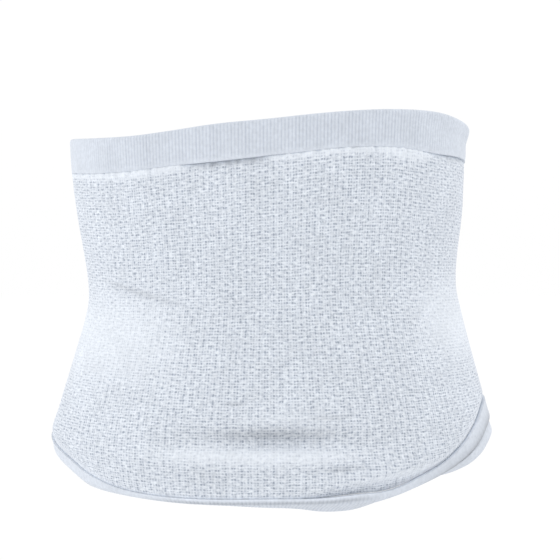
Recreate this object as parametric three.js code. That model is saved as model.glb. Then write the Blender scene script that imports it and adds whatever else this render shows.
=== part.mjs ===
// Knitted body wrap: a seamless tube for the waist in the form that it takes when worn.
// A ribbed band, folded double, finishes the tube at the top, and a ribbed hem finishes it below.
// Millimetres, +Z up. The front faces -Y, and the origin is on the tube's axis at its narrowest level.
// A bearing is an angle round the axis in degrees: 0 at the front, 90 at +X, 180 at the back.

import * as THREE from 'three';
import { LoftGeometry } from 'three/addons/geometries/LoftGeometry.js';

// Cloth sizes
const tubeWall = 2.0; // knitted body, one layer with its raised stitches
const bandWall = 2.6; // top band and hem, two layers
const bandProud = 0.5; // how far a band stands out of the tube beside it
const seamDip = 1.1; // how far the tube is drawn in along its seams
const seamDipReach = 3.2; // how far from the seam that draws it in
const seamGap = 0.3; // clearance between two pieces at a seam
const hemLength = 24.5; // along the cloth, from the seam to the folded edge
const hemTurn = 4.2; // length of cloth in which the hem turns under
const creaseTurn = 36; // extra turn at the hem's crease, in degrees
const creaseReach = 0.9; // length of cloth that takes the crease
const hemStep = 0.25; // step in which the hem's run is followed

// Steps of the walls
const columnCount = 72; // round the tube
const foldRows = 12; // close rows, over the folds above the hem
const foldHeight = 54; // height of those rows above the hem's seam
const plainRows = 9; // wide rows, up to the margin under the band
const marginRows = 2; // close rows under the band
const marginHeight = 7; // height of that margin
const bandRows = 5; // rows of the top band's outside
const roundSteps = 4; // steps round a folded edge
const leadMiddle = 0.5; // share of the hem's lead where its section has a point
const leadEnd = 0.9; // share of the hem's lead where the ridge above its crease begins to turn
const turnMiddle = 0.6; // share of the hem's turn where its section has a point

// Outline of the tube: half widths to the left and right of the axis, and depths to its front and back
const squareness = 2.25; // 2 is an ellipse, more is squarer
const outline = [
  { z: 118, left: 150.3, right: 147.2, front: 108, back: 105 },
  { z: 90, left: 149.3, right: 143.5, front: 107, back: 103 },
  { z: 55, left: 145.6, right: 142, front: 105, back: 98 },
  { z: 20, left: 139.6, right: 138, front: 102.5, back: 93 },
  { z: 0, left: 137, right: 137.5, front: 102, back: 92 },
  { z: -17, left: 137.7, right: 141, front: 103, back: 94 },
  { z: -50, left: 146.8, right: 149.3, front: 109, back: 103 },
  { z: -88, left: 158, right: 159.5, front: 116, back: 115 },
  { z: -108, left: 163.4, right: 164.5, front: 118, back: 119 },
  { z: -125, left: 158, right: 166, front: 118, back: 120 },
  { z: -150, left: 150, right: 165, front: 116, back: 119 },
];

// Top band: height of its rim and of its seam with the tube
const topBand = [
  { bearing: -130, rim: 111, seam: 86.5 },
  { bearing: -84, rim: 107.5, seam: 82.5 },
  { bearing: -62, rim: 102, seam: 77.4 },
  { bearing: -48, rim: 100.4, seam: 76.5 },
  { bearing: -36, rim: 101.9, seam: 78.6 },
  { bearing: -19, rim: 105.9, seam: 81.2 },
  { bearing: 0, rim: 109.1, seam: 85 },
  { bearing: 12, rim: 111.7, seam: 87.4 },
  { bearing: 24, rim: 114.3, seam: 90.4 },
  { bearing: 41, rim: 117.5, seam: 92.2 },
  { bearing: 57, rim: 118.7, seam: 90.4 },
  { bearing: 72, rim: 116.4, seam: 91 },
  { bearing: 90, rim: 114.8, seam: 90.6 },
  { bearing: 130, rim: 113, seam: 88.5 },
  { bearing: 180, rim: 111, seam: 86.5 },
];

// Hem: height of its seam, how far it runs straight on down the wall, and how far it then turns under
const hem = [
  { bearing: -140, seam: -103, lead: 9, tuck: 20 },
  { bearing: -110, seam: -104, lead: 9, tuck: 30 },
  { bearing: -84, seam: -108.5, lead: 11.5, tuck: 46 },
  { bearing: -67, seam: -117, lead: 11.5, tuck: 58 },
  { bearing: -58, seam: -126.5, lead: 8, tuck: 72 },
  { bearing: -46, seam: -133.8, lead: 3, tuck: 79 },
  { bearing: -28, seam: -136.6, lead: 1.8, tuck: 76 },
  { bearing: 0, seam: -136, lead: 2, tuck: 67 },
  { bearing: 18, seam: -135.6, lead: 1.8, tuck: 63 },
  { bearing: 30, seam: -132.6, lead: 4.6, tuck: 62 },
  { bearing: 40, seam: -127, lead: 5, tuck: 72 },
  { bearing: 50, seam: -119.6, lead: 5, tuck: 72 },
  { bearing: 58, seam: -108.6, lead: 9, tuck: 56 },
  { bearing: 66, seam: -96, lead: 12.6, tuck: 26 },
  { bearing: 76, seam: -84.2, lead: 15, tuck: 2 },
  { bearing: 100, seam: -82, lead: 14.5, tuck: 6 },
  { bearing: 140, seam: -94, lead: 12, tuck: 12 },
  { bearing: 180, seam: -102, lead: 10, tuck: 16 },
];

// Folds of the worn cloth: centre, height gained for each degree, reach each way and rise of the surface
const folds = [
  { bearing: 4, z: -102, climb: 0, span: 24, width: 7.2, rise: -4.2 }, // groove over the front
  { bearing: 0, z: -114, climb: 0, span: 27, width: 7, rise: 1.4 }, // roll over the front
  { bearing: 22, z: -118, climb: 0.1, span: 9, width: 3.6, rise: -1.5 }, // short groove
  { bearing: 33, z: -119, climb: 0.4, span: 15, width: 4.5, rise: 2.4 }, // roll by the hem
  { bearing: 33, z: -126, climb: 0.5, span: 13, width: 3.6, rise: -2.2 }, // groove by the hem
  { bearing: -3, z: 79, climb: 0.2, span: 7, width: 3.6, rise: -1.2 }, // pucker under the band
  { bearing: 74, z: 104, climb: -0.1, span: 14, width: 3.6, rise: -1.4 }, // tuck at the right of the band
  { bearing: 72, z: 80, climb: -0.2, span: 9, width: 3.6, rise: -1.2 }, // tuck under the right of the band
];

const degree = Math.PI / 180;

// Rows of a table of bearings, with the turns before and after, so that a curve through them closes
const roundTable = (rows) =>
  [-360, 0, 360].flatMap((turn) => rows.map((row) => ({ ...row, bearing: row.bearing + turn })));

const topBandRound = roundTable(topBand);
const hemRound = roundTable(hem);
const outlineUp = [...outline].reverse();

// Smooth curve through one column of a table: a cubic between two rows, with slopes taken across each row
function curveThrough(rows, key, column, at) {
  const last = rows.length - 2;
  const found = rows.findIndex((row) => row[key] > at) - 1;
  const low = found < 0 ? (at < rows[0][key] ? 0 : last) : found;
  const slopeAt = (i) => {
    const before = rows[Math.max(i - 1, 0)];
    const after = rows[Math.min(i + 1, last + 1)];
    return (after[column] - before[column]) / (after[key] - before[key]);
  };
  const step = rows[low + 1][key] - rows[low][key];
  const t = THREE.MathUtils.clamp((at - rows[low][key]) / step, 0, 1);
  const rise = rows[low + 1][column] - rows[low][column];
  const leave = slopeAt(low) * step;
  const arrive = slopeAt(low + 1) * step;
  const bend = 3 * rise - 2 * leave - arrive;
  const twist = leave + arrive - 2 * rise;
  return rows[low][column] + t * (leave + t * (bend + t * twist));
}

const bandAt = (bearing, column) => curveThrough(topBandRound, 'bearing', column, bearing);
const hemAt = (bearing, column) => curveThrough(hemRound, 'bearing', column, bearing);

// Rise of the surface from the folds near a place on the tube
function foldRise(bearing, z) {
  return folds.reduce((sum, fold) => {
    const aside = bearing - fold.bearing;
    const above = z - fold.z - fold.climb * aside;
    return sum + fold.rise * Math.exp(-((aside / fold.span) ** 2) - (above / fold.width) ** 2);
  }, 0);
}

// Distance from the axis to the outside of the cloth
function clothRadius(bearing, z) {
  const across = Math.sin(bearing * degree);
  const along = Math.cos(bearing * degree);
  const wide = curveThrough(outlineUp, 'z', across > 0 ? 'right' : 'left', z);
  const deep = curveThrough(outlineUp, 'z', along > 0 ? 'front' : 'back', z);
  const sum = Math.abs(across / wide) ** squareness + Math.abs(along / deep) ** squareness;
  return sum ** (-1 / squareness) + foldRise(bearing, z);
}

// Bearings of the columns, spaced so that they lie about as far apart at the sides as at the front
const waist = outline.find((row) => row.z === 0);
const spread = Math.sqrt(waist.right / waist.front);
const bearings = Array.from({ length: columnCount }, (_, i) => {
  const turn = (2 * Math.PI * i) / columnCount;
  return Math.atan2(spread * Math.sin(turn), Math.cos(turn)) / degree;
});

// Values from one number up to another, without the last
const steps = (from, to, count) =>
  Array.from({ length: count }, (_, i) => THREE.MathUtils.lerp(from, to, i / count));

// Section of the knitted body: up its outside from the hem's seam to the band's, and down its inside
function bodySection(bearing) {
  const low = hemAt(bearing, 'seam') + seamGap / 2;
  const high = bandAt(bearing, 'seam') - seamGap / 2;
  const heights = [
    ...steps(low, low + foldHeight, foldRows),
    ...steps(low + foldHeight, high - marginHeight, plainRows),
    ...steps(high - marginHeight, high, marginRows),
    high,
  ];
  const drawnIn = (away) => seamDip * Math.exp(-((away / seamDipReach) ** 2));
  const radiusAt = (z) => clothRadius(bearing, z) - drawnIn(z - low) - drawnIn(high - z);
  const outside = heights.map((z) => ({ r: radiusAt(z), z }));
  const inside = outside.map(({ r, z }) => ({ r: r - tubeWall, z })).reverse();
  return [...outside, ...inside];
}

// Section of the top band: up its outside, round the folded rim, and down its inside
function topBandSection(bearing) {
  const half = bandWall / 2;
  const foot = bandAt(bearing, 'seam') + seamGap / 2;
  const rimCentre = bandAt(bearing, 'rim') - half;
  const heights = steps(foot, rimCentre, bandRows);
  const outside = heights.map((z) => ({ r: clothRadius(bearing, z) + bandProud, z }));
  const inside = outside.map(({ r, z }) => ({ r: r - bandWall, z })).reverse();
  const middle = clothRadius(bearing, rimCentre) + bandProud - half;
  const rim = Array.from({ length: roundSteps + 1 }, (_, i) => {
    const turn = (Math.PI * i) / roundSteps;
    return { r: middle + half * Math.cos(turn), z: rimCentre + half * Math.sin(turn) };
  });
  return [...outside, ...rim, ...inside];
}

// Place on the hem's outside at a length of cloth from its seam, and its angle inward from straight down.
// The hem runs on down the wall, creases at the end of its lead, and turns under.
function hemPlace(bearing, length, crease) {
  const lead = hemAt(bearing, 'lead');
  const tuck = hemAt(bearing, 'tuck') * degree;
  let z = hemAt(bearing, 'seam') - seamGap / 2;
  let r = clothRadius(bearing, z) + bandProud;
  const start = Math.atan((clothRadius(bearing, z) - clothRadius(bearing, z - hemTurn)) / hemTurn);
  const angleAt = (s) =>
    start + tuck * THREE.MathUtils.clamp((s - lead) / hemTurn, 0, 1) +
    crease * degree * Math.exp(-(((s - lead) / creaseReach) ** 2));
  const count = Math.ceil(length / hemStep);
  for (let i = 0; i < count; i++) {
    const angle = angleAt(((i + 0.5) * length) / count);
    r -= (Math.sin(angle) * length) / count;
    z -= (Math.cos(angle) * length) / count;
  }
  return { r, z, angle: angleAt(length) };
}

// Section of the hem: up its outside from the folded edge to the seam, down its inside, and round the edge
function hemSection(bearing) {
  const half = bandWall / 2;
  const lead = hemAt(bearing, 'lead');
  const turned = lead + hemTurn;
  const end = hemLength - half;
  const lengths = [
    0, lead * leadMiddle, lead * leadEnd, lead + creaseReach, lead + hemTurn * turnMiddle,
    turned, (turned + end) / 2, end,
  ];
  const outside = lengths.map((length) => hemPlace(bearing, length, creaseTurn));
  const inside = lengths.map((length) => {
    const { r, z, angle } = hemPlace(bearing, length, 0);
    const lean = length > 0 ? angle : 0;
    return { r: r - bandWall * Math.cos(lean), z: z + bandWall * Math.sin(lean) };
  });
  const outer = outside.at(-1);
  const inner = inside.at(-1);
  const edge = steps(0, Math.PI, roundSteps).slice(1).map((turn) => {
    const across = (1 - Math.cos(turn)) / 2;
    const beyond = half * Math.sin(turn);
    return {
      r: THREE.MathUtils.lerp(inner.r, outer.r, across) - beyond * Math.sin(outer.angle),
      z: THREE.MathUtils.lerp(inner.z, outer.z, across) - beyond * Math.cos(outer.angle),
    };
  });
  return [...outside.reverse(), ...inside, ...edge];
}

// Closed wall through its sections at all the bearings: one ring of cloth for each point of the section
function wallGeometry(sectionAt) {
  const sections = bearings.map(sectionAt);
  const rings = sections[0].map((_, k) =>
    bearings.map((bearing, i) => {
      const { r, z } = sections[i][k];
      return new THREE.Vector3(r * Math.sin(bearing * degree), -r * Math.cos(bearing * degree), z);
    }));
  return new LoftGeometry([...rings, rings[0]]);
}

// Pieces of the wrap, in white knitted cotton
const pieces = [
  { name: 'knit_body', section: bodySection, colour: 0xe9eef6, roughness: 0.95 },
  { name: 'top_band', section: topBandSection, colour: 0xe4eaf3, roughness: 0.9 },
  { name: 'hem_band', section: hemSection, colour: 0xe4eaf3, roughness: 0.9 },
];

const bodyWrap = new THREE.Group();
for (const { name, section, colour, roughness } of pieces) {
  const material = new THREE.MeshStandardMaterial({ color: colour, roughness, metalness: 0 });
  const mesh = new THREE.Mesh(wallGeometry(section), material);
  mesh.name = name;
  bodyWrap.add(mesh);
}

export default bodyWrap;
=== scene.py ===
# %% [markdown]
# # A knitted body wrap
# The object is a white, seamless tube of knitted cotton that is worn round the waist. It has three parts:
# a pitted tuck knit for the body, and a rib knit, folded double, for the band on top and for the hem.
# The solids in the frame already hold the worn shape, its folds and its sizes. This lesson reads that shape
# back, knits a fine surface on it, gives it yarn to be made of, and lights it like a catalogue picture.

# %% Load the frame
import math

import bmesh
import bpy
import numpy as np
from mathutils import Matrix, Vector


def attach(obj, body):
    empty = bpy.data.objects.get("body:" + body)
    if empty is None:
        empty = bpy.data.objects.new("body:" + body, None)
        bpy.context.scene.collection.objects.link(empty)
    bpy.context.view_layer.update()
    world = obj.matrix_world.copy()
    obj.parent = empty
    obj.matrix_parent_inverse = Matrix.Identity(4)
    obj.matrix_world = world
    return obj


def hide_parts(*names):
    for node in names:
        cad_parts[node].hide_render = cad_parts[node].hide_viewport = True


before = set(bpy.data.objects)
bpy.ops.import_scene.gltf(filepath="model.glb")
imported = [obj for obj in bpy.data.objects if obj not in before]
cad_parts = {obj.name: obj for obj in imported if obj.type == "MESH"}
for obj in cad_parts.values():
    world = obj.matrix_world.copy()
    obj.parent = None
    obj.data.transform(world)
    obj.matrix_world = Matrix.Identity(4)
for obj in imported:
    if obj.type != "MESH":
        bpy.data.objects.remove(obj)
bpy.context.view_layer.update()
print("frame nodes:", sorted(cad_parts))

# %% [markdown]
# ## The camera
# The picture was taken level with the waist from about three quarters of a metre, so the rim is seen a little
# from below and the hem from above. The lens follows from the picture's width in pixels and its focal length
# in pixels, because both lenses and sensors only matter as that ratio.

# %% Place the camera
MM = 0.001
PICTURE_PIXELS = 560
FOCAL_PIXELS = 976
SENSOR_MM = 36
CAMERA_PLACE = Vector((6, -741, 4)) * MM

camera_data = bpy.data.cameras.new("camera")
camera_data.sensor_width = SENSOR_MM
camera_data.lens = SENSOR_MM * FOCAL_PIXELS / PICTURE_PIXELS
camera = bpy.data.objects.new("camera", camera_data)
camera.location = CAMERA_PLACE
camera.rotation_euler = (math.radians(90), 0, 0)
bpy.context.scene.collection.objects.link(camera)
bpy.context.scene.camera = camera
print("camera lens in mm:", round(camera_data.lens, 1))

# %% [markdown]
# ## Reading a cloth wall back from its solid
# Each solid is a wall lofted round the tube, so its corners lie in columns, and every column is a loop that
# runs up the outside of the cloth and down its inside. Sorting the corners by their bearing finds the
# columns, and walking along the edges inside one column finds the order of its loop. The result is a net of
# points, rows along the section by columns round the tube, which is far easier to knit on than loose
# triangles.

# %% Read a net of points from a solid
MERGE_DISTANCE = 1e-6
BEARING_GAP = math.radians(0.5)


def bearing_of(vert):
    """Angle round the tube from its front, a little past zero there, so that the front column stays whole."""
    return (math.atan2(vert.co.x, -vert.co.y) + BEARING_GAP) % (2 * math.pi)


def walk_section(column, from_top):
    """The corners of one column in the order of their loop, from the outer corner of the seam."""
    members = set(column)
    side = 1 if from_top else -1

    def neighbours(vert):
        others = [edge.other_vert(vert) for edge in vert.link_edges]
        return [other for other in others if other in members]

    start = max(column, key=lambda vert: (round(side * vert.co.z, 5), vert.co.xy.length))
    path = [start, max(neighbours(start), key=lambda vert: abs(vert.co.z - start.co.z))]
    while len(path) < len(column):
        path.append(next(vert for vert in neighbours(path[-1]) if vert not in path))
    return path


def wall_net(node, from_top=False):
    """Points of a wall: rows along its section, columns round the tube, three coordinates."""
    bm = bmesh.new()
    bm.from_mesh(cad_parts[node].data)
    bmesh.ops.remove_doubles(bm, verts=bm.verts, dist=MERGE_DISTANCE)
    columns = []
    for vert in sorted(bm.verts, key=bearing_of):
        if not columns or bearing_of(vert) - bearing_of(columns[-1][0]) > BEARING_GAP:
            columns.append([])
        columns[-1].append(vert)
    sections = [[tuple(vert.co) for vert in walk_section(column, from_top)] for column in columns]
    bm.free()
    net = np.array(sections).transpose(1, 0, 2)
    print(node, "net:", net.shape[0], "rows by", net.shape[1], "columns")
    return net


# %% [markdown]
# ## A seam that sags
# On the right of the front the hem hangs a little lower than in the solids. The body and the hem meet at that
# seam, so both nets are lowered together, and less and less away from the seam.

# %% Lower the seam of the hem
SAG_BEARING = 37
SAG_REACH = 7
SAG_DEPTH = 3 * MM
SAG_FADE = 7 * MM


def sag_seam(net, seam_row):
    """The net with its seam a little lower on the right of the front, where the worn hem hangs."""
    bearing = np.degrees(np.arctan2(net[seam_row, :, 0], -net[seam_row, :, 1]))
    sag = SAG_DEPTH * np.exp(-((bearing - SAG_BEARING) / SAG_REACH) ** 2)
    near_seam = np.exp(-((net[:, :, 2] - net[seam_row, :, 2]) / SAG_FADE) ** 2)
    lowered = net.copy()
    lowered[:, :, 2] -= sag * near_seam
    return lowered


body_net = sag_seam(wall_net("knit_body"), 0)
top_net = wall_net("top_band")
hem_net = sag_seam(wall_net("hem_band", from_top=True)[::-1], -1)
print("the seam sags by", SAG_DEPTH / MM, "mm at", SAG_BEARING, "degrees")

# %% [markdown]
# ## Smooth curves through the net
# Cloth has no facets, so the net is only a cage. Round the tube a closed cubic runs through each row, and
# along a section another cubic runs through each column, measured by length of cloth. Wales, the upright
# lines of stitches, lie at equal distances, so places round the tube are counted in equal steps of length.

# %% Curves through the net


def equal_places(ring, count):
    """Places round a closed ring, counted in its own points, that lie equally far apart along it."""
    closed = np.vstack([ring, ring[:1]])
    steps = np.linalg.norm(np.diff(closed, axis=0), axis=1)
    lengths = np.concatenate([[0], np.cumsum(steps)])
    return np.interp(np.arange(count) / count * lengths[-1], lengths, np.arange(len(lengths)))


def round_the_tube(net, places):
    """The net's rows as closed cubics, read at the places given."""
    low = np.floor(places).astype(int)
    t = (places - low)[:, None]
    a, b, c, d = (net[:, (low + k) % net.shape[1]] for k in (-1, 0, 1, 2))
    return b + t * (c - a + t * (2 * a - 5 * b + 4 * c - d + t * (3 * b - a - 3 * c + d))) / 2


def along_section(points, measure, wanted):
    """One section as a cubic, read where its measure, which only grows, has the wanted values."""
    steps = np.diff(measure)
    slopes = np.gradient(points, measure, axis=0)
    low = np.clip(np.searchsorted(measure, wanted) - 1, 0, len(steps) - 1)
    step = steps[low][:, None]
    t = (wanted - measure[low])[:, None] / step
    start, rise = points[low], points[low + 1] - points[low]
    leave, arrive = slopes[low] * step, slopes[low + 1] * step
    return start + t * (leave + t * (3 * rise - 2 * leave - arrive + t * (leave + arrive - 2 * rise)))


def cloth_length(points):
    """Length of cloth from the start of a section to each of its points, as shares of the whole."""
    steps = np.linalg.norm(np.diff(points, axis=0), axis=1)
    lengths = np.concatenate([[0], np.cumsum(steps)])
    return lengths / lengths[-1]


def section_rows(*runs):
    """Shares of a section, each run given by where it starts and how many rows it has; the last ends at 1."""
    ends = [start for start, count in runs[1:]] + [1]
    pieces = [np.linspace(start, end, count, endpoint=False) for (start, count), end in zip(runs, ends)]
    return np.concatenate([*pieces, [1]])


def outward(net):
    """Unit normals of a net whose sections run up the outside of the cloth."""
    across = np.roll(net, -1, axis=1) - np.roll(net, 1, axis=1)
    normals = np.cross(across, np.gradient(net, axis=0))
    return normals / np.linalg.norm(normals, axis=2, keepdims=True)


# %% [markdown]
# ## Rolling a grid into a wall
# A wall is a flat grid that is rolled up twice: its left and right edges meet behind the tube, and its top
# and bottom edges meet at the seam. The grid operator makes the faces and flat coordinates for the pattern,
# the net gives each corner its place, and merging the doubles closes both joints. Each corner also keeps two
# numbers for the yarn: relief, how high it stands in the knit or how much of the knit is left there, and
# painted shading, the share of light that it loses in folds too fine for the mesh; it is painted into the
# yarn's colour as shade, and as a painted highlight where it is below zero.

# %% Roll up a grid


def roll_wall(name, net, relief, painted_shading, wales, courses):
    """A closed wall from a net, keeping relief and painted shading, with the knit's counts as its UV map."""
    rows, columns = net.shape[:2]
    bm = bmesh.new()
    bm.loops.layers.uv.new("knit")
    bm.verts.layers.float.new("relief")
    bm.verts.layers.float.new("painted_shading")
    layers = bm.verts.layers.float
    bmesh.ops.create_grid(bm, x_segments=columns, y_segments=rows, size=1, calc_uvs=True)
    for i, vert in enumerate(bm.verts):
        row, column = divmod(i, columns + 1)
        vert.co = net[row % rows, column % columns]
        vert[layers["relief"]] = relief[row % rows, column % columns]
        vert[layers["painted_shading"]] = painted_shading[row % rows, column % columns]
    bmesh.ops.remove_doubles(bm, verts=bm.verts, dist=MERGE_DISTANCE)
    if bm.calc_volume(signed=True) < 0:
        bmesh.ops.reverse_faces(bm, faces=bm.faces)
    for face in bm.faces:
        face.smooth = True
    mesh = bpy.data.meshes.new(name)
    bm.to_mesh(mesh)
    bm.free()
    flat = np.zeros(2 * len(mesh.loops), np.float32)
    mesh.uv_layers["knit"].data.foreach_get("uv", flat)
    flat = flat.reshape(-1, 2)
    flat[:, 0] *= wales
    flat[:, 1] = np.interp(flat[:, 1] * rows, np.arange(rows + 1), [*courses, courses[0]])
    mesh.uv_layers["knit"].data.foreach_set("uv", flat.ravel())
    piece = bpy.data.objects.new(name, mesh)
    bpy.context.scene.collection.objects.link(piece)
    triangles = sum(len(polygon.vertices) - 2 for polygon in mesh.polygons)
    print(name, "has", triangles, "triangles")
    return piece


# %% [markdown]
# ## The tuck knit of the body
# A tuck knit skips stitches in turn, which leaves small pits between raised stitches. Every wale has a pit on
# each second course, and pairs of wales take turns, so the pits stand two by two in brick order. A wale is
# about 4.6 mm wide and a course 2 mm high. Four columns of corners to a wale and one row to a course are just
# enough to set a pit, the stitch above it and the ridge beside it. The courses run level over the hips and
# fan out above them to meet the sloping band. Where the hem climbs at the sides they crowd together and fade.

# %% Set out the courses of the body
WALES = 168
COLUMNS_TO_WALE = 4
COURSES_ABOVE = 66
COURSES_BELOW = 50
LEVEL_HEIGHT = -45 * MM
CROWDED_SHARE = 0.2
CROWD_GAIN = 2
CROWD_LOSS = 0.4
# Rows of the inside lie closest behind the folds of the lower front: shares of the height, and rows from each
INNER_ROWS = section_rows((0, 3), (0.04, 14), (0.22, 6))
OUTER_ROWS = body_net.shape[0] // 2
COURSES = COURSES_ABOVE + COURSES_BELOW

places = equal_places(body_net[OUTER_ROWS // 2], WALES * COLUMNS_TO_WALE)
body_round = round_the_tube(body_net, places)
outer_cage = body_round[:OUTER_ROWS]
inner_cage = body_round[OUTER_ROWS:][::-1]
hem_line = outer_cage[0, :, 2]
band_line = outer_cage[-1, :, 2]
middle_depth = outer_cage[OUTER_ROWS // 2, :, 1]
backness = np.clip(middle_depth / middle_depth.max(), 0, 1)


def course_heights(hem, band, even):
    """Heights of the courses of one section, from the hem up; even spacing takes over as even nears 1."""
    above = LEVEL_HEIGHT + (band - LEVEL_HEIGHT) * np.arange(1, COURSES_ABOVE + 1) / COURSES_ABOVE
    down = (LEVEL_HEIGHT - hem_line.min()) * np.arange(COURSES_BELOW + 1) / COURSES_BELOW
    room = LEVEL_HEIGHT - hem
    free = (1 - CROWDED_SHARE) * room
    past = np.clip((down - free) / (down[-1] - free), 0, 1)
    power = (down[-1] - free) / (room - free)
    drop = np.where(down < free, down, free + (room - free) * (1 - (1 - past) ** power))
    level = np.concatenate([LEVEL_HEIGHT - drop[::-1], above])
    return (1 - even) * level + even * np.linspace(hem, band, COURSES + 1)


levels = np.array([course_heights(*line) for line in zip(hem_line, band_line, backness)]).T
sections = range(len(places))
body_outer = np.array([along_section(outer_cage[:, i], outer_cage[:, i, 2], levels[:, i]) for i in sections])
body_outer = body_outer.transpose(1, 0, 2)
spacing = np.gradient(levels, axis=0)
evenness = np.clip(CROWD_GAIN * spacing / np.median(spacing) - CROWD_LOSS, 0, 1)
waist = body_outer[COURSES // 2]
girth = np.linalg.norm(waist - np.roll(waist, 1, axis=0), axis=1).sum()
print("course spacing in mm:", np.round(1000 * np.percentile(spacing, [5, 50, 95]), 2))
print("one wale round the waist in mm:", round(1000 * girth / WALES, 2))

# %% [markdown]
# ## Where the knit is drawn and pulled
# The seams do not hold the cloth evenly. Under the band it puffs out in some places and is drawn in behind
# the band's foot in others, and on the right a groove follows the hem. Small folds cross the side of the
# waist and the lower front. Pulled cloth, on the rolls over the front and at both sides, has shallower pits.
# A wall 2 mm thick has no room for the sharpest creases, so the light that they would lose is kept as a share
# and painted into the yarn's colour as shade, as is the shade in the groove by the hem and where the cloth is
# drawn in under the band; where it puffs out there, a little highlight is painted. Short tables by bearing
# say where: 0 is the front, 90 the right of the picture.
# Lengths in them are in millimetres.

# %% Pulls and puffs by bearing
PUFFS = (  # bearing, how far the cloth stands out under the band, how far down that reaches
    (-100, 0.8, 2.5), (-62, 1.6, 2.5), (-50, 2.3, 3), (-33, 2.1, 3), (-27, -0.4, 2.5), (-20, -1.0, 2.5),
    (-4, -0.9, 2.5), (2, 1.2, 2.5), (20, 1.6, 2.5), (38, 1.8, 3), (44, 2.3, 5.5), (51, 2.0, 5.5),
    (56, 0.2, 3), (62, -0.5, 2.5), (74, -0.5, 2.5), (84, 0.8, 2.5),
)
PUFF_CENTRE = 1.0
PUFF_WAVES = (61, 97, 139)
PUFF_UNEVEN = 0.6
HEM_GROOVE = (  # bearing, how far the cloth is drawn in above the hem, how far up that reaches
    (-60, 0, 1.5), (-40, -0.5, 1.5), (6, -0.5, 1.5), (14, 0.5, 2), (22, 1.5, 2.4), (38, 1.6, 2.4),
    (45, 0.7, 1.6), (60, 1.1, 1), (78, 1.1, 1), (88, 0, 1),
)
HEM_GROOVE_CENTRE = 0.4
# Each line below has its bearing, reach each way, height, height gained to a degree, reach up and down,
# and last an amount: the share of the pits' depth that goes, the rise of a fold, the share of light lost,
# painted as shade.
PULLED = (
    (-5, 32, -109, 0, 6, 0.95),
    (6, 16, -85, 0, 4, 0.5),
    (37, 13, -123, 0.4, 3.5, 0.9),
    (-66, 36, -36, 0, 36, 0.8),
    (76, 26, -24, 0, 30, 0.85),
)
SMALL_FOLDS = (
    (-48, 12, -4.5, -0.54, 2.2, -1.2),
    (-52, 14, -10, -0.54, 5, 1.6),
    (-11.5, 3.5, -75.7, 0.1, 1.3, -0.8),
    (19.6, 6, -84.6, 0.1, 1.3, -0.8),
    (4, 20, -100.5, 0, 3.6, -1.3),
    (-2, 24, -108.5, 0, 4, 2.2),
    (22, 7, -117.5, 0.1, 1.5, -1.1),
    (33, 14, -121.5, 0.4, 3.5, 1.8),
)
# Painted shade: lines along which the yarn's colour is darkened for folds too fine for the mesh.
PAINTED_SHADES = (
    (-48, 12, -4, -0.54, 2.0, 0.5),
    (-11.5, 3.5, -75.7, 0.1, 1.3, 0.5),
    (19.6, 6, -84.6, 0.1, 1.3, 0.5),
    (1, 21, -96, 0, 5, 0.8),
    (-18, 18, -122, 0, 8, 0.16),
    (22, 7, -117.5, 0.1, 1.5, 0.45),
)
# Painted shade in the groove by the hem and where the cloth is drawn in under the band, painted highlight
# where it puffs out.
GROOVE_PAINTED_SHADE = 0.25
TUCK_PAINTED_SHADE = 0.6
PUFF_PAINTED_HIGHLIGHT = 0.04
SMOOTH_PUFF = 1.2
MOST_SMOOTH = 0.95
PULLED_END = 4

draw = np.random.default_rng(12)


def round_table(table, bearing, column=1):
    """One column of a table of bearings, read all the way round."""
    return np.interp(bearing, [line[0] for line in table], [line[column] for line in table], period=360)


def uneven(turn, waves):
    """A sum of waves round the tube with chance phases, between -1 and 1."""
    return sum(np.sin(k * turn + draw.uniform(0, 6)) for k in waves) / len(waves)


bearing = np.degrees(np.arctan2(outer_cage[OUTER_ROWS // 2, :, 0], -middle_depth))
turn = 2 * np.pi * np.arange(len(places)) / len(places)
below_band = (band_line - levels) / MM
above_hem = (levels - hem_line) / MM
puff = round_table(PUFFS, bearing) * (1 + PUFF_UNEVEN * uneven(turn, PUFF_WAVES))
puff = puff * np.exp(-((below_band - PUFF_CENTRE) / round_table(PUFFS, bearing, 2)) ** 2)
past_groove = above_hem / round_table(HEM_GROOVE, bearing, 2) - HEM_GROOVE_CENTRE
groove = round_table(HEM_GROOVE, bearing) * np.exp(-(np.maximum(past_groove, 0) ** 2))


def soft_line(centre, span, height, climb, width, end=2):
    """Weight of a soft line on the tube, 1 along its middle; a higher end keeps it full for longer."""
    off_line = levels / MM - height - climb * (bearing - centre)
    return np.exp(-np.abs((bearing - centre) / span) ** end - (off_line / width) ** 2)


small_fold = sum(rise * soft_line(*line) for *line, rise in SMALL_FOLDS)
# Painted shading: shade along the lines, in the groove and where the cloth is drawn in; highlight on the
# puffs.
painted_shading = sum(share * soft_line(*line) for *line, share in PAINTED_SHADES)
painted_shading = painted_shading + GROOVE_PAINTED_SHADE * np.maximum(groove, 0)
painted_shading = painted_shading + TUCK_PAINTED_SHADE * np.maximum(-puff, 0) - PUFF_PAINTED_HIGHLIGHT * np.maximum(puff, 0)
drawn = (puff - groove + small_fold) * MM
hold = 1 - np.clip(puff / SMOOTH_PUFF, 0, MOST_SMOOTH)
for *line, share in PULLED:
    hold = hold * (1 - share * soft_line(*line, end=PULLED_END))
print("puffs and grooves in mm:", round(drawn.min() / MM, 2), "to", round(drawn.max() / MM, 2))

# %% [markdown]
# ## The relief of the knit
# The knit itself is a small sum: a pit in the middle of each wale on its own courses, and a raised stitch on
# the courses between. Long, weak waves over the whole tube take away its machined look, and short puckers
# hang from the band, where the rib draws the tube in. How far the pits have faded stays with the corners, so
# that the painted shade of the pits in the yarn's colour can follow it. The inside is plain, with few rows,
# and sinks where the outside does, so that the wall stays thick enough behind each fold.

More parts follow.
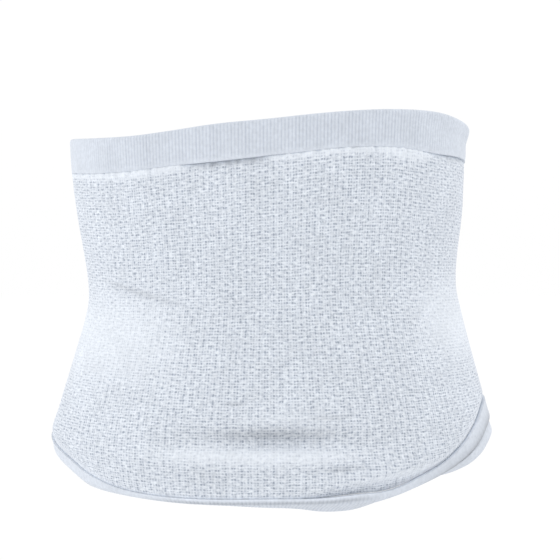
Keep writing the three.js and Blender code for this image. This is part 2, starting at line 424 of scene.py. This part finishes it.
# %% Knit the relief of the body
PIT_DEPTH = 0.35 * MM
PIT_PROFILE = (0.0, 0.35, 1.0, 0.35)
STITCH_RISE = 0.25 * MM
STITCH_PROFILE = (0.4, 0.8, 1.0, 0.8)
UNEVEN = 0.4
DEEPEST = 1.8
INNER_RELIEF = 0.7
TOP_FADE = 4.5
LOW_FADE = 1.2
SEAM_CLOSE = 0.22 * MM
PUCKER_DEPTH = 0.5 * MM
PUCKER_REACH = 8.0
PUCKER_WAVES = (31, 47, 73)
SWELL_WAVES = ((3, 1.4), (5, -2.1), (8, 3.3), (13, 4.2), (21, -6.5))
SWELL_DEPTH = 0.15 * MM

row = np.arange(COURSES + 1)[:, None]
wale = np.arange(len(places)) // COLUMNS_TO_WALE
pitted = (row + wale // 2) % 2 == 0
fade = evenness * hold * np.clip(below_band / TOP_FADE, 0, 1) * np.clip(above_hem / LOW_FADE, 0, 1)
depth = np.clip(1 + UNEVEN * draw.standard_normal(fade.shape), 0, DEEPEST)
pit = -PIT_DEPTH * depth * np.tile(PIT_PROFILE, WALES)
stitch = STITCH_RISE * np.tile(STITCH_PROFILE, WALES)
knit = np.where(pitted, pit, stitch) * fade
swell = sum(np.sin(k * turn + m * row / COURSES + draw.uniform(0, 6)) for k, m in SWELL_WAVES)
swell = swell / len(SWELL_WAVES)
pucker = uneven(turn, PUCKER_WAVES) * np.exp(-below_band / PUCKER_REACH)
seam_hold = np.clip(np.minimum(below_band, above_hem) / TOP_FADE, 0, 1)
lift = knit + drawn + (SWELL_DEPTH * swell + PUCKER_DEPTH * pucker) * seam_hold
body_outer = body_outer + lift[:, :, None] * outward(body_outer)

inner_shares = INNER_ROWS[::-1]
inner_levels = hem_line + (band_line - hem_line) * inner_shares[:, None]
inner_sections = [along_section(inner_cage[:, i], inner_cage[:, i, 2], inner_levels[:, i]) for i in sections]
body_inner = np.array(inner_sections).transpose(1, 0, 2)
sunk = np.maximum(groove - small_fold, 0) * MM
inner_sunk = np.array([np.interp(inner_levels[:, i], levels[:, i], sunk[:, i]) for i in sections]).T
body_inner = body_inner + inner_sunk[:, :, None] * outward(body_inner)
for top, low in ((body_outer[-1], body_outer[0]), (body_inner[0], body_inner[-1])):
    top[:, 2] = band_line + SEAM_CLOSE
    low[:, 2] = hem_line - SEAM_CLOSE
knit_tube = roll_wall(
    "knit_tube",
    np.concatenate([body_outer, body_inner]),
    np.concatenate([fade, np.full(inner_levels.shape, INNER_RELIEF)]),
    np.concatenate([painted_shading, np.zeros(inner_levels.shape)]),
    wales=WALES,
    courses=np.concatenate([np.arange(COURSES + 1) / 2, COURSES / 2 * inner_shares]),
)

# %% [markdown]
# ## The rib bands
# The band and the hem are the same cloth: a fine rib, knitted to twice its height and folded, so the ribs run
# up the outside, over the fold and down the inside without a break. Each rib is a rounded ridge about 2.3 mm
# wide with a narrow valley, and four columns of corners are enough to round it; the valleys take painted
# shade. Seams and folds press the ribs flat, and where the cloth is pulled round the sides they all but
# vanish.
# On the right a crease runs along the hem: the cloth above it rolls over, and the strip below hangs behind
# the roll. Rows of corners follow the crease wherever it lies, so that its edge stays sharp, and the inside
# of the hem gives way behind it. Painted shade darkens the roll above the crease and a little of the strip
# below it.
# At the front the hem has a pressed ridge at its seam with a painted highlight, and painted shade on the
# strip under it.

# %% Rib the band and the hem
RIBS = 350
RIB_PROFILE = (0.0, 0.78, 1.0, 0.78)
RIB_DEPTH = 0.22 * MM
RIB_UNEVEN = 0.15
RIB_LIMITS = (0.3, 1.6)
PRESSED_LENGTH = 3.0
PRESSED_SHARE = 0.15
FOLD_LENGTH = 2.5
STITCH_LENGTH = 1.2
FOOT_ROUND = 0.012
TOP_RIBS = ((-100, 0.1), (-76, 0.1), (-62, 0.6), (-46, 1), (48, 1), (66, 0.5), (80, 0.2), (100, 0.1))
HEM_RIBS = ((-100, 0.1), (-40, 0.15), (-24, 1), (22, 1), (32, 0.4), (44, 0.05), (100, 0.05))
CREASE = (  # bearing, length of cloth from the seam, how far the cloth below hangs behind the roll
    (42, 9.5, 0), (50, 10, 0.8), (58, 10.5, 1.2), (62, 12, 1.3), (70, 12.8, 1.3), (78, 14.5, 1.2),
    (84, 16, 1), (96, 17, 0),
)
# Shade tables have a bearing and the share of light lost under the seam's ridge, painted as shade; the same
# share scales the painted highlight on the ridge.
TOP_SHADE = ((0, 0),)
HEM_SHADE = ((-40, 0), (-24, 0.6), (24, 0.6), (34, 0))
# Where the painted shade under the seam's ridge lies and fades, and the strength and width of the ridge's
# painted highlight.
RIDGE_LENGTH = 3.2
RIDGE_FADE = 1.4
RIDGE_HIGHLIGHT = 0.7
RIDGE_WIDTH = 1.3
CREASE_ROW = 0.8
CREASE_CUT = 0.7
CREASE_REACH = 0.35
ROLL_RADIUS = 2.2
STRIP_REACH = 3.0
# Painted shade at the crease: its strength, and how far it reaches above and below.
CREASE_SHADE = 1.9
SHADE_ABOVE = 2.4
SHADE_BELOW = 0.8


def rib_band(name, net, rows, strength, shade, crease=None):
    """A ribbed wall on a net whose sections run from one seam edge over the fold to the other."""
    count = RIBS * len(RIB_PROFILE)
    fine = round_the_tube(net, equal_places(net[net.shape[0] // 4], count))
    length = np.linalg.norm(np.diff(fine[:, 0], axis=0), axis=1).sum() / MM
    bearing = np.degrees(np.arctan2(fine[0, :, 0], -fine[0, :, 1]))
    creased = np.full(count, CREASE_ROW)
    crease_depth = np.zeros(count)
    if crease:
        creased = 1 - round_table(crease, bearing) / length
        crease_depth = round_table(crease, bearing, 2) * MM
    marks = (0, 1 - CREASE_ROW, 0.5, CREASE_ROW, 1)
    shares = [np.interp(rows, marks, (0, 1 - share, 0.5, share, 1)) for share in creased]
    sections = [along_section(fine[:, i], cloth_length(fine[:, i]), shares[i]) for i in range(count)]
    fine = np.array(sections).transpose(1, 0, 2)
    from_seam = np.minimum(rows, 1 - rows)[:, None] * length
    from_fold = np.abs(rows - 0.5)[:, None] * length
    pressed = PRESSED_SHARE + (1 - PRESSED_SHARE) * np.clip(from_seam / PRESSED_LENGTH, 0, 1) ** 2
    pressed = pressed * np.clip(from_fold / FOLD_LENGTH, PRESSED_SHARE, 1)
    depth = np.repeat(1 + RIB_UNEVEN * draw.standard_normal(RIBS), len(RIB_PROFILE)).clip(*RIB_LIMITS)
    depth = depth * round_table(strength, bearing)
    relief = 1 - (1 - np.tile(RIB_PROFILE, RIBS)) * depth * pressed
    outside = (rows > 0.5)[:, None]
    past_crease = (CREASE_ROW - np.maximum(rows, 1 - rows))[:, None] * length
    in_roll = np.clip(past_crease / ROLL_RADIUS + 1, 0, 1)
    roll = (1 - np.sqrt(1 - in_roll ** 2)) * (past_crease <= 0)
    strip = np.exp(-past_crease / STRIP_REACH) * (past_crease > 0)
    cut = np.exp(-((past_crease / CREASE_REACH) ** 2))
    sunk = crease_depth * (roll + strip + CREASE_CUT * cut) * np.where(outside, 1, -1)
    fine = fine + (RIB_DEPTH * (relief - 1) - sunk)[:, :, None] * outward(fine)
    # Painted shade along the crease and under the seam's ridge, with a painted highlight on the ridge.
    shade_reach = np.where(past_crease <= 0, -SHADE_ABOVE, SHADE_BELOW)
    painted_shading = CREASE_SHADE * np.exp(-past_crease / shade_reach) * np.minimum(crease_depth / MM, 1)
    under_ridge_shade = np.exp(-((from_seam - RIDGE_LENGTH) / RIDGE_FADE) ** 2)
    ridge_highlight = RIDGE_HIGHLIGHT * np.exp(-((from_seam / RIDGE_WIDTH) ** 2))
    painted_shading = (painted_shading + (under_ridge_shade - ridge_highlight) * round_table(shade, bearing)) * outside
    return roll_wall(name, fine, relief, painted_shading, wales=RIBS, courses=rows * length / STITCH_LENGTH)


top_rows = section_rows((0, 2), (FOOT_ROUND, 14), (0.44, 8), (0.56, 5))
hem_rows = section_rows(
    (0, 3), (0.15, 2), (1 - CREASE_ROW, 2), (0.25, 2), (0.4, 6),
    (0.52, 14), (0.785, 3), (CREASE_ROW, 3), (0.815, 14), (1 - FOOT_ROUND, 2),
)
top_rib = rib_band("top_rib", top_net, top_rows, TOP_RIBS, TOP_SHADE)
hem_rib = rib_band("hem_rib", hem_net, hem_rows, HEM_RIBS, HEM_SHADE, CREASE)

# %% [markdown]
# ## Yarn
# Both knits are of the same soft white yarn, a little cool in tone. What they share is a node group: faint
# mottling from the yarn's thickness, the slanting legs of the stitches and a fine nap that catches the light.
# It gives out a colour factor and a height. A few helpers keep the nodes short to write.

# %% Helpers for nodes


def new_group(name, inputs, outputs):
    """An empty shader group with float sockets, and its two ends."""
    group = bpy.data.node_groups.new(name, "ShaderNodeTree")
    for label in inputs:
        group.interface.new_socket(label, in_out="INPUT", socket_type="NodeSocketFloat")
    for label in outputs:
        group.interface.new_socket(label, in_out="OUTPUT", socket_type="NodeSocketFloat")
    return group, group.nodes.new("NodeGroupInput"), group.nodes.new("NodeGroupOutput")


def math_node(tree, operation, first, second=0.0, third=0.0):
    """The output of a sum on up to three values, each a socket or a number."""
    node = tree.nodes.new("ShaderNodeMath")
    node.operation = operation
    for socket, value in zip(node.inputs, (first, second, third)):
        if isinstance(value, (int, float)):
            socket.default_value = value
        else:
            tree.links.new(value, socket)
    return node.outputs["Value"]


def remap(tree, value, low, high, to_low, to_high):
    """A value carried smoothly from one span to another."""
    node = tree.nodes.new("ShaderNodeMapRange")
    node.interpolation_type = "SMOOTHSTEP"
    for label, number in zip(("From Min", "From Max", "To Min", "To Max"), (low, high, to_low, to_high)):
        node.inputs[label].default_value = number
    tree.links.new(value, node.inputs["Value"])
    return node.outputs["Result"]


def noise(tree, vector, scale, detail):
    """A noise factor at a place."""
    node = tree.nodes.new("ShaderNodeTexNoise")
    node.inputs["Detail"].default_value = detail
    node.inputs["Scale"].default_value = scale
    tree.links.new(vector, node.inputs["Vector"])
    return node.outputs["Fac"]


# %% The yarn of both knits
LEG_HEIGHT = 0.35
LEG_GAP = (0.5, 0.3)
NAP_HEIGHT = 0.5
NAP_SCALE = 1800
FINE_SCALE = 420
BROAD_SCALE = 45


def yarn_group():
    """Mottle, a factor about 1, and Height, the stitches and the nap, from the flat place on the cloth."""
    group, start, end = new_group("yarn", ("Wales", "Courses"), ("Mottle", "Height"))
    place = group.nodes.new("ShaderNodeTexCoord").outputs["Object"]
    flat = group.nodes.new("ShaderNodeUVMap")
    flat.uv_map = "knit"
    parts = group.nodes.new("ShaderNodeSeparateXYZ")
    group.links.new(flat.outputs["UV"], parts.inputs["Vector"])
    wale = math_node(group, "FRACT", math_node(group, "MULTIPLY", parts.outputs["X"], start.outputs["Wales"]))
    aside = math_node(group, "ABSOLUTE", math_node(group, "SUBTRACT", wale, 0.5))
    course = math_node(group, "MULTIPLY", parts.outputs["Y"], start.outputs["Courses"])
    slant = math_node(group, "MULTIPLY", math_node(group, "ADD", course, aside), 2 * math.pi)
    leg = math_node(group, "MULTIPLY", math_node(group, "SINE", slant), LEG_HEIGHT)
    stitch = math_node(group, "MULTIPLY", leg, remap(group, aside, *LEG_GAP, 0, 1))
    nap = math_node(group, "MULTIPLY", noise(group, place, NAP_SCALE, 2), NAP_HEIGHT)
    group.links.new(math_node(group, "ADD", stitch, nap), end.inputs["Height"])
    fine = remap(group, noise(group, place, FINE_SCALE, 3), 0.2, 0.8, 0.93, 1.06)
    broad = remap(group, noise(group, place, BROAD_SCALE, 2), 0.25, 0.75, 0.97, 1.03)
    group.links.new(math_node(group, "MULTIPLY", fine, broad), end.inputs["Mottle"])
    return group


YARN = yarn_group()
print("yarn group has", len(YARN.nodes), "nodes")

# %% [markdown]
# ## Dots and strokes of the tuck knit
# Seen close, the tuck knit is a fine lattice of dots between strands, two and a half dots to a wale. The grid
# of corners is too coarse for them, so nodes draw them in the flat coordinates, as bumps and as painted shade
# in the yarn's colour. Each dot has a chance depth, pairs of wales take turns in being deep, and noise
# stretched level, upright and aslant stands for the strands. A weak, broad noise shifts the lattice, so that
# it is never quite straight. Where the cloth is pulled, all of it fades.

# %% The lattice of the tuck knit
PIT_WOBBLE = 0.25
WOBBLE_SCALE = 1.7
DOTS_TO_WALE = 2.5
DOTS_TO_COURSE = 2
DOT_REACH = 0.5
DOT_SPREAD = 0.95
ALIKE = 0.6
LOOSE_STITCH = 0.74
LOOSE_ACROSS = 0.9
LOOSE_BETWEEN = 0.55
TUCKED_STITCH = 0.5
STROKES = ((0, (1.2, 3.0, 1)), (90, (1.5, 3.2, 1)), (40, (3.2, 1.3, 1)))  # turn in degrees, scale each way
STROKE = 0.8
SMOOTHEST = 0.3
GROUND = 0.17


def tuck_group():
    """Pit, 0 on the net of stitches to 1 in a deep pit, from flat coordinates; it sets bump and painted
    shade.
    """
    group, start, end = new_group("tuck_pits", ("Hold",), ("Pit",))
    flat = group.nodes.new("ShaderNodeUVMap")
    flat.uv_map = "knit"
    shift = group.nodes.new("ShaderNodeTexNoise")
    shift.inputs["Scale"].default_value = WOBBLE_SCALE
    shift.inputs["Detail"].default_value = 1
    wobble = group.nodes.new("ShaderNodeVectorMath")
    wobble.operation = "MULTIPLY_ADD"
    wobble.inputs[1].default_value = (PIT_WOBBLE, PIT_WOBBLE, 0)
    group.links.new(flat.outputs["UV"], shift.inputs["Vector"])
    group.links.new(shift.outputs["Color"], wobble.inputs[0])
    group.links.new(flat.outputs["UV"], wobble.inputs[2])
    parts = group.nodes.new("ShaderNodeSeparateXYZ")
    group.links.new(wobble.outputs["Vector"], parts.inputs["Vector"])
    counts = []
    reach = []
    for label, per_loop, narrow in (("X", DOTS_TO_WALE, DOT_SPREAD), ("Y", DOTS_TO_COURSE, 1)):
        centred = math_node(group, "SUBTRACT", parts.outputs[label], PIT_WOBBLE / 2)
        dots = math_node(group, "MULTIPLY_ADD", centred, per_loop, 0.5)
        aside = math_node(group, "MULTIPLY_ADD", math_node(group, "FRACT", dots), narrow, -narrow / 2)
        reach.append(math_node(group, "POWER", math_node(group, "ABSOLUTE", aside), 2))
        counts.append(math_node(group, "FLOOR", dots))
    dot = remap(group, math_node(group, "ADD", *reach), DOT_REACH ** 2, 0, 0, 1)
    number = group.nodes.new("ShaderNodeCombineXYZ")
    group.links.new(counts[0], number.inputs["X"])
    group.links.new(counts[1], number.inputs["Y"])
    chance = group.nodes.new("ShaderNodeTexWhiteNoise")
    chance.noise_dimensions = "2D"
    group.links.new(number.outputs["Vector"], chance.inputs["Vector"])
    wale = math_node(group, "FLOOR", parts.outputs["X"])
    pair = math_node(group, "FLOOR", math_node(group, "MULTIPLY", wale, 0.5))
    turn = math_node(group, "FLOORED_MODULO", math_node(group, "ADD", counts[1], pair), 2)
    across = math_node(group, "SINE", math_node(group, "MULTIPLY", parts.outputs["X"], math.pi))
    across = math_node(group, "POWER", math_node(group, "ABSOLUTE", across), 2)
    tucked = math_node(group, "MULTIPLY", across, math_node(group, "SUBTRACT", 0.5, turn))
    strokes = []
    for lean, stretch in STROKES:
        turned = group.nodes.new("ShaderNodeMapping")
        turned.inputs["Rotation"].default_value = (0, 0, math.radians(lean))
        turned.inputs["Scale"].default_value = stretch
        group.links.new(flat.outputs["UV"], turned.inputs["Vector"])
        strokes.append(noise(group, turned.outputs["Vector"], 1, 1))
    cluster = remap(group, strokes[0], 0.35, 0.65, LOOSE_STITCH / 2, LOOSE_STITCH)
    likely = math_node(group, "MULTIPLY_ADD", chance.outputs["Value"], 1 - ALIKE, ALIKE)
    loose = math_node(group, "MULTIPLY", likely, cluster)
    share = math_node(group, "MULTIPLY_ADD", across, LOOSE_ACROSS, LOOSE_BETWEEN)
    loose = math_node(group, "MULTIPLY", loose, share)
    strength = math_node(group, "MULTIPLY_ADD", tucked, TUCKED_STITCH, loose)
    stroke = math_node(group, "ADD", math_node(group, "ADD", strokes[0], strokes[1]), strokes[2])
    stroke = math_node(group, "SUBTRACT", stroke, 1.5)
    sunk = math_node(group, "MULTIPLY_ADD", dot, strength, math_node(group, "MULTIPLY", stroke, STROKE))
    held = remap(group, start.outputs["Hold"], 0, 1, SMOOTHEST, 1)
    pit = math_node(group, "MULTIPLY", math_node(group, "ADD", sunk, GROUND), held)
    group.links.new(pit, end.inputs["Pit"])
    return group


TUCK = tuck_group()
print("tuck group has", len(TUCK.nodes), "nodes")

# %% [markdown]
# ## Two finishes
# A finish mixes the pale tone of the yarn with a deeper tone by its pits; the deeper tone is painted shade in
# the pits and valleys. Then it multiplies in the mottle and the painted shading of the hollows, which is
# shade, and a painted highlight where it is below zero. The same pits, with the stitches and the nap, bump
# the surface.
# The tuck knit takes its pits from the lattice, and the rib takes them from the relief that its corners keep.

# %% Finishes of the two knits
HOLLOW_SHADE = 0.4
# The deep tones are painted shade: in the pits of the tuck knit and the valleys between the ribs.
TUCK_PALE, TUCK_PIT_SHADE = (0.88, 0.93, 1.0), (0.40, 0.45, 0.54)
RIB_PALE, RIB_VALLEY_SHADE = (0.73, 0.78, 0.86), (0.60, 0.65, 0.74)


def yarn_shader(name, pit_shade, pale, pit, stitches, bump):
    """A soft yarn with painted shade where pit is 1; pit is a function that adds its nodes to the tree."""
    material = bpy.data.materials.new(name)
    material.use_nodes = True
    tree = material.node_tree
    shader = tree.nodes["Principled BSDF"]
    shader.inputs["Roughness"].default_value = 0.92
    shader.inputs["Specular IOR Level"].default_value = 0.2
    shader.inputs["Sheen Weight"].default_value = 0.15
    shader.inputs["Sheen Roughness"].default_value = 0.6
    kept = {}
    for label in ("relief", "painted_shading"):
        attribute = tree.nodes.new("ShaderNodeAttribute")
        attribute.attribute_name = label
        kept[label] = attribute.outputs["Fac"]
    yarn = tree.nodes.new("ShaderNodeGroup")
    yarn.node_tree = YARN
    yarn.inputs["Wales"].default_value, yarn.inputs["Courses"].default_value = stitches
    sunk = pit(tree, kept["relief"])
    # Light left after the painted shade of the hollows; above 1 it is a painted highlight.
    lit = math_node(tree, "MULTIPLY_ADD", kept["painted_shading"], -HOLLOW_SHADE, 1)
    tone = tree.nodes.new("ShaderNodeMix")
    tone.data_type = "RGBA"
    tone.inputs["A"].default_value = (*pale, 1)
    tone.inputs["B"].default_value = (*pit_shade, 1)
    shade = tree.nodes.new("ShaderNodeMix")
    shade.data_type = "RGBA"
    shade.blend_type = "MULTIPLY"
    shade.inputs["Factor"].default_value = 1
    relief = tree.nodes.new("ShaderNodeBump")
    relief.inputs["Strength"].default_value = 0.5
    relief.inputs["Distance"].default_value = bump
    link = tree.links.new
    link(sunk, tone.inputs["Factor"])
    link(tone.outputs["Result"], shade.inputs["A"])
    link(math_node(tree, "MULTIPLY", yarn.outputs["Mottle"], lit), shade.inputs["B"])
    link(shade.outputs["Result"], shader.inputs["Base Color"])
    link(math_node(tree, "SUBTRACT", yarn.outputs["Height"], sunk), relief.inputs["Height"])
    link(relief.outputs["Normal"], shader.inputs["Normal"])
    return material


def tuck_pit(tree, depth):
    """Pits of the tuck knit, as deep as the corners say."""
    tuck = tree.nodes.new("ShaderNodeGroup")
    tuck.node_tree = TUCK
    tree.links.new(depth, tuck.inputs["Hold"])
    return tuck.outputs["Pit"]


def rib_pit(tree, relief):
    """Valleys between the ribs, which take painted shade."""
    return math_node(tree, "SUBTRACT", 1, relief)


tuck_finish = yarn_shader("tuck_knit", TUCK_PIT_SHADE, TUCK_PALE, tuck_pit, stitches=(1, 2), bump=0.3 * MM)
rib_finish = yarn_shader("rib_knit", RIB_VALLEY_SHADE, RIB_PALE, rib_pit, stitches=(1, 1), bump=0.15 * MM)
knit_tube.data.materials.append(tuck_finish)
for band in (top_rib, hem_rib):
    band.data.materials.append(rib_finish)
print("finishes:", tuck_finish.name, "and", rib_finish.name)

# %% [markdown]
# ## Cloth facts
# Every piece takes the place of its solid and rides with the one body. All three are knitted sheets that are
# held stretched; beside each piece stand its finish and its flat size, the tube laid out unstretched and the
# bands at their folded height, though nothing here reads them.

for piece, node, finish, flat_height in (
    (knit_tube, "knit_body", "tuck_knit", 0.225),
    (top_rib, "top_band", "rib_knit", 0.0245),
    (hem_rib, "hem_band", "rib_knit", 0.0245),
):
    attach(piece, "root")
    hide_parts(node)

# %% [markdown]
# ## Studio
# The picture is a cut-out on white. A white surround does the same: it lights the cloth softly from all
# round, a little less from the front, and two large soft lamps at the sides lift the edges of the tube, the
# left one more. The wrap is held up in the air, so the pale floor lies well below it. Far out the floor glows
# a little and the surround turns white towards it, so that no line shows where they meet.

# %% Floor, surround and lamps
FLOOR_LEVEL = -1.0
FLOOR_SIZE = 60
FLOOR_TONE = 0.75
FLOOR_GLOW = 0.27
GLOW_FROM, GLOW_FULL = 1.0, 2.6
FRONT_LIGHT = 0.8
BACK_LIGHT = 1.0
TOP_LIGHT = 0.1
HORIZON_REACH = 0.25

bm = bmesh.new()
bmesh.ops.create_grid(bm, x_segments=1, y_segments=1, size=FLOOR_SIZE)
bmesh.ops.translate(bm, verts=bm.verts, vec=(0, 0, FLOOR_LEVEL))
floor_mesh = bpy.data.meshes.new("floor")
bm.to_mesh(floor_mesh)
bm.free()
floor = bpy.data.objects.new("floor", floor_mesh)
bpy.context.scene.collection.objects.link(floor)
floor_paint = bpy.data.materials.new("floor_paint")
floor_paint.use_nodes = True
floor_shader = floor_paint.node_tree.nodes["Principled BSDF"]
floor_shader.inputs["Base Color"].default_value = (FLOOR_TONE, FLOOR_TONE, FLOOR_TONE, 1)
floor_shader.inputs["Roughness"].default_value = 1
floor_shader.inputs["Emission Color"].default_value = (1, 1, 1, 1)
floor_tree = floor_paint.node_tree
floor_place = floor_tree.nodes.new("ShaderNodeTexCoord")
floor_reach = floor_tree.nodes.new("ShaderNodeVectorMath")
floor_reach.operation = "LENGTH"
floor_tree.links.new(floor_place.outputs["Object"], floor_reach.inputs[0])
floor_glow = remap(floor_tree, floor_reach.outputs["Value"], GLOW_FROM, GLOW_FULL, 0, FLOOR_GLOW)
floor_tree.links.new(floor_glow, floor_shader.inputs["Emission Strength"])
floor_mesh.materials.append(floor_paint)

world = bpy.data.worlds.new("surround")
world.use_nodes = True
sky = world.node_tree
look = sky.nodes.new("ShaderNodeSeparateXYZ")
sky.links.new(sky.nodes.new("ShaderNodeTexCoord").outputs["Generated"], look.inputs["Vector"])
level_light = remap(sky, look.outputs["Y"], -1, 0.9, FRONT_LIGHT, BACK_LIGHT)
high_light = remap(sky, look.outputs["Z"], 0, 1, 0, TOP_LIGHT)
near_floor = remap(sky, look.outputs["Z"], 0, HORIZON_REACH, 1, 0)
missing_light = math_node(sky, "SUBTRACT", BACK_LIGHT, level_light)
light = math_node(sky, "MULTIPLY_ADD", near_floor, missing_light, level_light)
sky.links.new(math_node(sky, "ADD", light, high_light), sky.nodes["Background"].inputs["Strength"])
sky.nodes["Background"].inputs["Color"].default_value = (1, 1, 1, 1)
bpy.context.scene.world = world

LAMPS = (  # name, place, size in metres, watts
    ("left_softbox", (-1.3, -0.3, -0.3), 1.2, 2.8),
    ("right_softbox", (1.1, 0.2, 0.9), 1.2, 1.6),
)
for name, place, size, watts in LAMPS:
    lamp_data = bpy.data.lights.new(name, "AREA")
    lamp_data.size = size
    lamp_data.energy = watts
    lamp = bpy.data.objects.new(name, lamp_data)
    lamp.location = place
    lamp.rotation_euler = (-Vector(place)).to_track_quat("-Z", "Y").to_euler()
    bpy.context.scene.collection.objects.link(lamp)

bpy.context.scene.view_settings.view_transform = "Standard"
print("lamps:", [name for name, *rest in LAMPS])
